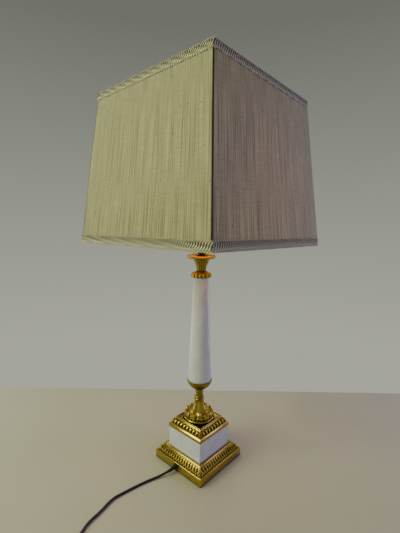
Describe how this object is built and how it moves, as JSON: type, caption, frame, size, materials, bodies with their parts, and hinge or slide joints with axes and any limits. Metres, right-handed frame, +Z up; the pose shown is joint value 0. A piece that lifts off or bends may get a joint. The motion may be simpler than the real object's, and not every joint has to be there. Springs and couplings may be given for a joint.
{
  "type": "column table lamp",
  "caption": "Table lamp with a square brass and white base, a white tapered column, a fluted brass capital and a square pyramid fabric shade with braid, on a flex with a switch and plug.",
  "frame": {"origin": "middle of the base's underside, on the surface that the lamp stands on", "axes": "+Z up along the column; the flex leaves through the middle of the base's -X face; -Y is the base face to the right of it as seen from outside"},
  "size_m": [0.6035, 0.3716, 0.801],
  "materials": {
    "brass": "polished, darker in the hollows",
    "white_glaze": "gloss",
    "steel": "zinc plated",
    "iron": "as cast",
    "felt": "felt",
    "soft_rubber": "matte",
    "bakelite": "satin",
    "porcelain": "unglazed",
    "contact_brass": "bright",
    "bulb_metal": "bright",
    "frosted_glass": "frosted",
    "white_wire": "white coated wire",
    "silk": "slubbed silk on a stiff liner",
    "braid": "woven braid",
    "piping": "corded edge",
    "flex": "satin",
    "wire_sleeve": "satin"
  },
  "bodies": {
    "lamp": {"ballast": "iron", "base_lock_washer": "steel", "base_nut": "steel", "base_plate": "steel", "base_plate_screws": "steel", "base_washer": "steel", "collar": "brass", "collar_bead": "brass", "column": "white_glaze", "column_cup": "brass", "cord_coil": "flex", "cord_grommet": "soft_rubber", "cord_to_coil": "flex", "cord_to_plug": "flex", "cord_to_switch": "flex", "core_wires": "wire_sleeve", "cup_washer": "soft_rubber", "drip_dish": "brass", "felt_pad": "felt", "foot": "brass", "holder_cap": "bakelite", "holder_centre_contact": "contact_brass", "holder_grub_screw": "steel", "holder_insert": "porcelain", "holder_screw_shell": "contact_brass", "holder_shell": "bakelite", "holder_terminals": "contact_brass", "inner_flex": "flex", "knop": "brass", "lower_plinth": "brass", "plinth_block": "white_glaze", "plug_body": "bakelite", "plug_pins": "contact_brass", "switch_contacts": "contact_brass", "switch_lower": "bakelite", "switch_screws": "steel", "switch_upper": "bakelite", "threaded_rod": "steel", "top_lock_nut": "steel", "tulip": "brass", "upper_plinth": "brass"},
    "shade": {"shade_fitter": "white_wire", "bottom_frame": "white_wire", "top_frame": "white_wire", "corner_struts": "white_wire", "corner_piping": "piping", "panel_front": "silk", "panel_right": "silk", "panel_back": "silk", "panel_left": "silk", "bottom_trim": "braid", "top_trim": "braid"},
    "shade_ring": {"shade_ring": "bakelite"},
    "bulb": {"bulb_glass": "frosted_glass", "bulb_cap": "bulb_metal", "bulb_tip": "contact_brass"},
    "rocker": {"switch_rocker": "bakelite"}
  },
  "joints": [
    {"name": "shade_turn", "type": "hinge", "parent": "lamp", "child": "shade", "pos_m": [0, 0, 0.516], "axis": [0, 0, 1], "continuous": true},
    {"name": "shade_ring_rise", "type": "slide", "parent": "lamp", "child": "shade_ring", "axis": [0, 0, 1], "range_m": [0, 0.012]},
    {"name": "bulb_unscrew", "type": "slide", "parent": "lamp", "child": "bulb", "axis": [0, 0, 1], "range_m": [0, 0.022]},
    {"name": "rocker_tilt", "type": "hinge", "parent": "lamp", "child": "rocker", "pos_m": [-0.36075, -0.02578, 0.012], "axis": [-0.4527, 0.8917, 0], "range_deg": [0, 14]}
  ]
}
